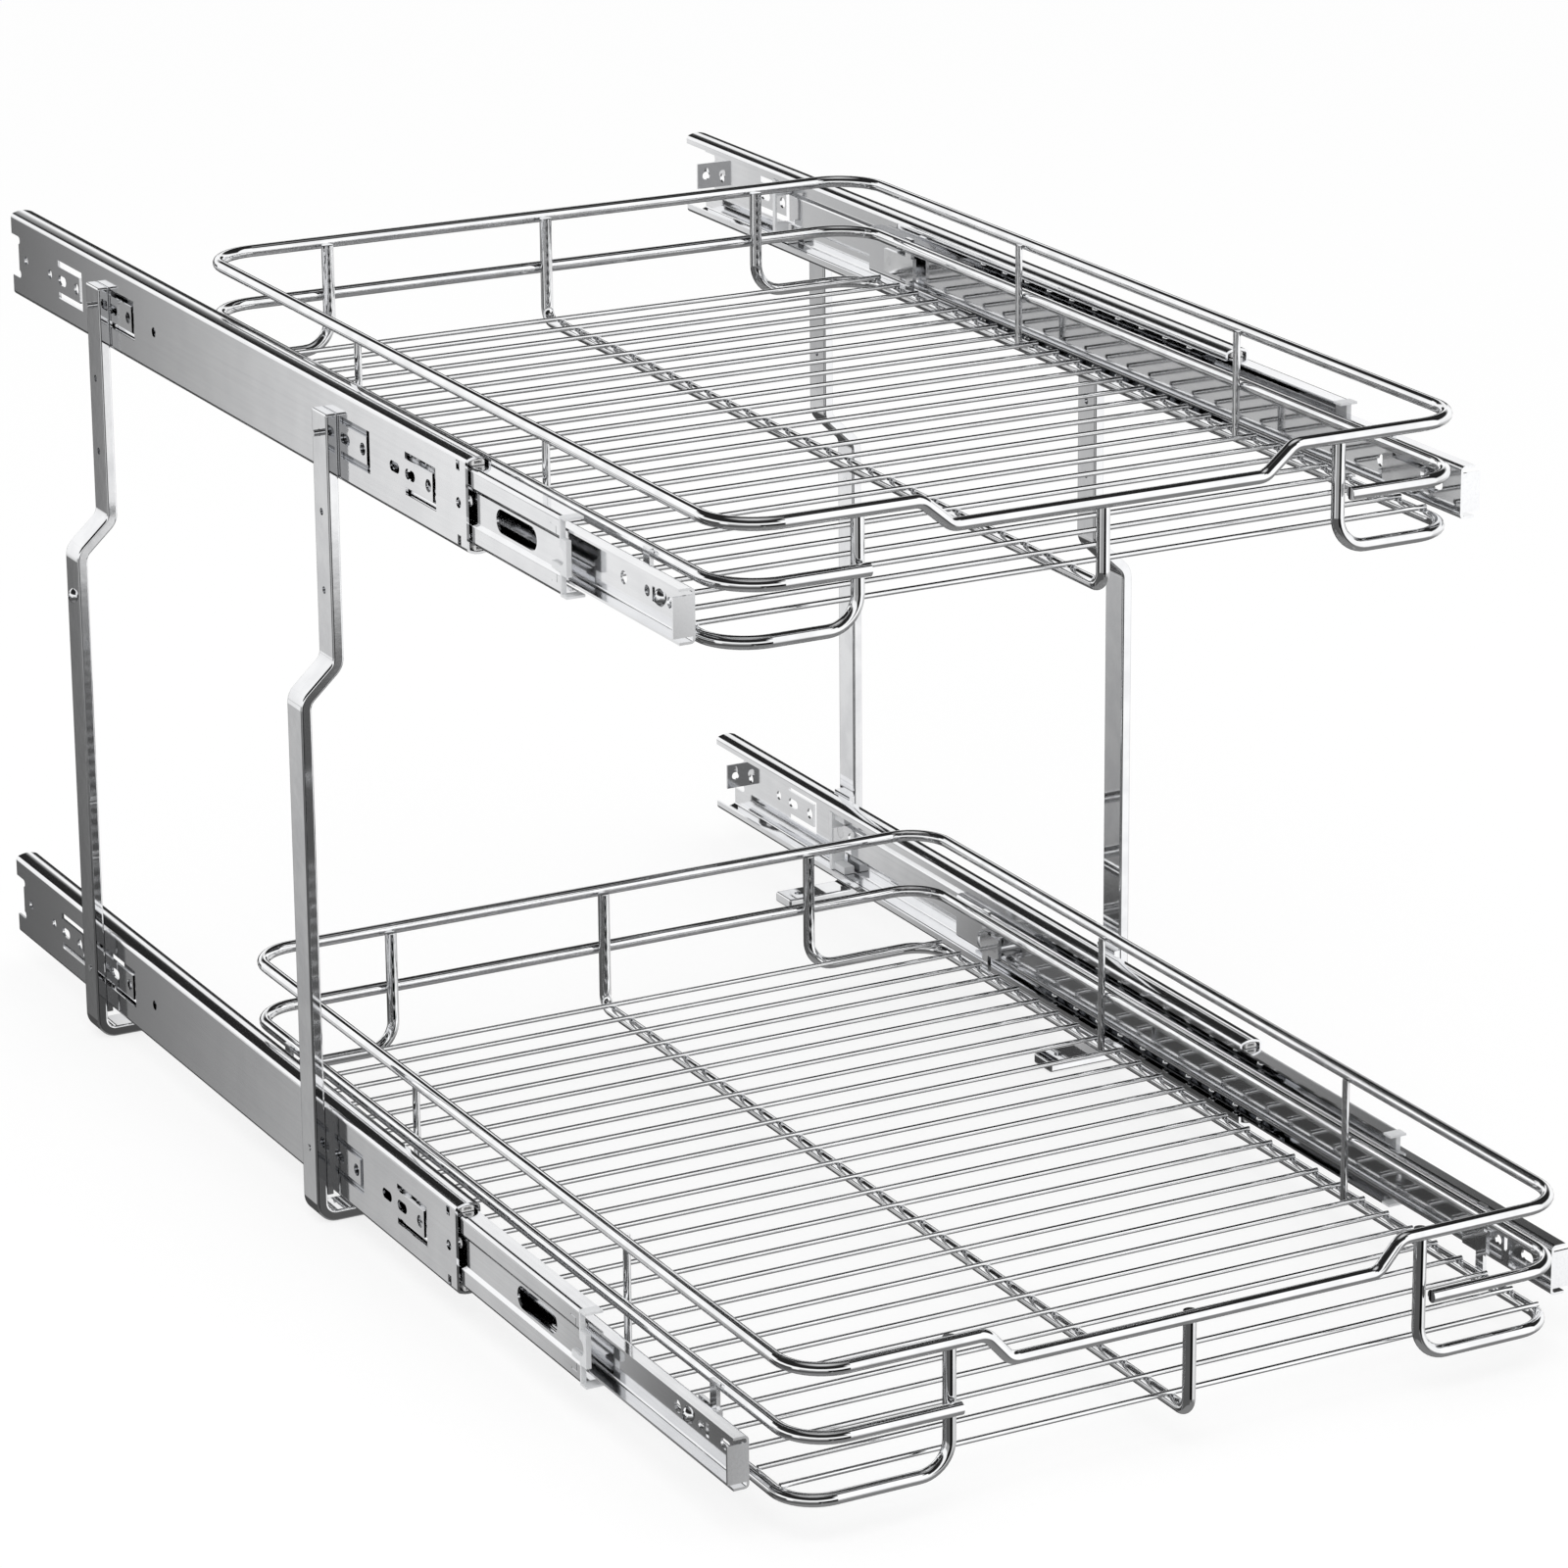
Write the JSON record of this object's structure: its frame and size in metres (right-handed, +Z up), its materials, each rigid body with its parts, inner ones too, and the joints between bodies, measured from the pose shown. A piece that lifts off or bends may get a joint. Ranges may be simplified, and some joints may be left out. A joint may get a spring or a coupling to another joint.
{
  "type": "two-tier pull-out shelf",
  "caption": "Cabinet shelf unit: wire baskets one above the other, pulling out on full-extension ball-bearing slides carried by bent flat-bar posts.",
  "frame": {"origin": "middle of the four floor screw holes, on the floor", "axes": "+X to the right seen from the front, +Y into the cabinet, +Z up; the baskets pull out along -Y"},
  "size_m": [0.4576, 0.8536, 0.4307],
  "materials": {
    "zinc_steel": "bright zinc-plated sheet steel",
    "cage_steel": "zinc-plated strip",
    "ball_steel": "polished bearing steel",
    "chromed_wire": "mirror chrome plating",
    "chromed_plate": "chrome plating",
    "chromed_bar": "satin nickel-chrome plating",
    "screw_steel": "zinc-plated",
    "grey_plastic": "moulded, satin",
    "white_plastic": "moulded, satin"
  },
  "bodies": {
    "frame": {"upper_left_outer_member": "zinc_steel", "upper_right_outer_member": "zinc_steel", "lower_left_outer_member": "zinc_steel", "lower_right_outer_member": "zinc_steel", "upper_slide_screws": "screw_steel", "lower_slide_screws": "screw_steel", "rear_left_post": "chromed_bar", "rear_right_post": "chromed_bar", "front_left_post": "chromed_bar", "front_right_post": "chromed_bar", "lower_spacers": "screw_steel", "rear_post_screws": "screw_steel", "mouth_buffers": "white_plastic"},
    "upper_tray": {"upper_left_inner_member": "zinc_steel", "upper_right_inner_member": "zinc_steel", "upper_top_rail": "chromed_wire", "upper_middle_rail": "chromed_wire", "upper_left_side_loop": "chromed_wire", "upper_right_side_loop": "chromed_wire", "upper_centre_loop": "chromed_wire", "upper_cross_wires": "chromed_wire", "upper_side_posts": "chromed_wire", "upper_fixing_tabs": "chromed_plate", "upper_basket_screws": "screw_steel"},
    "lower_tray": {"lower_left_inner_member": "zinc_steel", "lower_right_inner_member": "zinc_steel", "lower_top_rail": "chromed_wire", "lower_middle_rail": "chromed_wire", "lower_left_side_loop": "chromed_wire", "lower_right_side_loop": "chromed_wire", "lower_centre_loop": "chromed_wire", "lower_cross_wires": "chromed_wire", "lower_side_posts": "chromed_wire", "lower_fixing_tabs": "chromed_plate", "lower_basket_screws": "screw_steel"},
    "upper_left_middle": {"upper_left_middle_member": "zinc_steel", "upper_left_end_bumpers": "grey_plastic"},
    "upper_left_outer_cages": {"upper_left_outer_cage": "cage_steel", "upper_left_outer_balls": "ball_steel"},
    "upper_left_inner_cages": {"upper_left_inner_cage": "cage_steel", "upper_left_inner_balls": "ball_steel"},
    "upper_right_middle": {"upper_right_middle_member": "zinc_steel", "upper_right_end_bumpers": "grey_plastic"},
    "upper_right_outer_cages": {"upper_right_outer_cage": "cage_steel", "upper_right_outer_balls": "ball_steel"},
    "upper_right_inner_cages": {"upper_right_inner_cage": "cage_steel", "upper_right_inner_balls": "ball_steel"},
    "lower_left_middle": {"lower_left_middle_member": "zinc_steel", "lower_left_end_bumpers": "grey_plastic"},
    "lower_left_outer_cages": {"lower_left_outer_cage": "cage_steel", "lower_left_outer_balls": "ball_steel"},
    "lower_left_inner_cages": {"lower_left_inner_cage": "cage_steel", "lower_left_inner_balls": "ball_steel"},
    "lower_right_middle": {"lower_right_middle_member": "zinc_steel", "lower_right_end_bumpers": "grey_plastic"},
    "lower_right_outer_cages": {"lower_right_outer_cage": "cage_steel", "lower_right_outer_balls": "ball_steel"},
    "lower_right_inner_cages": {"lower_right_inner_cage": "cage_steel", "lower_right_inner_balls": "ball_steel"}
  },
  "joints": [
    {"name": "upper_tray_slide", "type": "slide", "parent": "frame", "child": "upper_tray", "axis": [0, -1, 0], "range_m": [-0.197, 0.363]},
    {"name": "lower_tray_slide", "type": "slide", "parent": "frame", "child": "lower_tray", "axis": [0, -1, 0], "range_m": [-0.265, 0.295]},
    {"name": "upper_left_middle_slide", "type": "slide", "parent": "frame", "child": "upper_left_middle", "axis": [0, -1, 0], "range_m": [-0.0985, 0.1815]},
    {"name": "upper_left_outer_cages_slide", "type": "slide", "parent": "frame", "child": "upper_left_outer_cages", "axis": [0, -1, 0], "range_m": [-0.04925, 0.09075]},
    {"name": "upper_left_inner_cages_slide", "type": "slide", "parent": "frame", "child": "upper_left_inner_cages", "axis": [0, -1, 0], "range_m": [-0.14775, 0.27225]},
    {"name": "upper_right_middle_slide", "type": "slide", "parent": "frame", "child": "upper_right_middle", "axis": [0, -1, 0], "range_m": [-0.0985, 0.1815]},
    {"name": "upper_right_outer_cages_slide", "type": "slide", "parent": "frame", "child": "upper_right_outer_cages", "axis": [0, -1, 0], "range_m": [-0.04925, 0.09075]},
    {"name": "upper_right_inner_cages_slide", "type": "slide", "parent": "frame", "child": "upper_right_inner_cages", "axis": [0, -1, 0], "range_m": [-0.14775, 0.27225]},
    {"name": "lower_left_middle_slide", "type": "slide", "parent": "frame", "child": "lower_left_middle", "axis": [0, -1, 0], "range_m": [-0.1325, 0.1475]},
    {"name": "lower_left_outer_cages_slide", "type": "slide", "parent": "frame", "child": "lower_left_outer_cages", "axis": [0, -1, 0], "range_m": [-0.06625, 0.07375]},
    {"name": "lower_left_inner_cages_slide", "type": "slide", "parent": "frame", "child": "lower_left_inner_cages", "axis": [0, -1, 0], "range_m": [-0.19875, 0.22125]},
    {"name": "lower_right_middle_slide", "type": "slide", "parent": "frame", "child": "lower_right_middle", "axis": [0, -1, 0], "range_m": [-0.1325, 0.1475]},
    {"name": "lower_right_outer_cages_slide", "type": "slide", "parent": "frame", "child": "lower_right_outer_cages", "axis": [0, -1, 0], "range_m": [-0.06625, 0.07375]},
    {"name": "lower_right_inner_cages_slide", "type": "slide", "parent": "frame", "child": "lower_right_inner_cages", "axis": [0, -1, 0], "range_m": [-0.19875, 0.22125]}
  ],
  "couplings": [
    {"joint": "upper_left_middle_slide", "follows": "upper_tray_slide", "ratio": 0.5},
    {"joint": "upper_left_outer_cages_slide", "follows": "upper_tray_slide", "ratio": 0.25},
    {"joint": "upper_left_inner_cages_slide", "follows": "upper_tray_slide", "ratio": 0.75},
    {"joint": "upper_right_middle_slide", "follows": "upper_tray_slide", "ratio": 0.5},
    {"joint": "upper_right_outer_cages_slide", "follows": "upper_tray_slide", "ratio": 0.25},
    {"joint": "upper_right_inner_cages_slide", "follows": "upper_tray_slide", "ratio": 0.75},
    {"joint": "lower_left_middle_slide", "follows": "lower_tray_slide", "ratio": 0.5},
    {"joint": "lower_left_outer_cages_slide", "follows": "lower_tray_slide", "ratio": 0.25},
    {"joint": "lower_left_inner_cages_slide", "follows": "lower_tray_slide", "ratio": 0.75},
    {"joint": "lower_right_middle_slide", "follows": "lower_tray_slide", "ratio": 0.5},
    {"joint": "lower_right_outer_cages_slide", "follows": "lower_tray_slide", "ratio": 0.25},
    {"joint": "lower_right_inner_cages_slide", "follows": "lower_tray_slide", "ratio": 0.75}
  ]
}
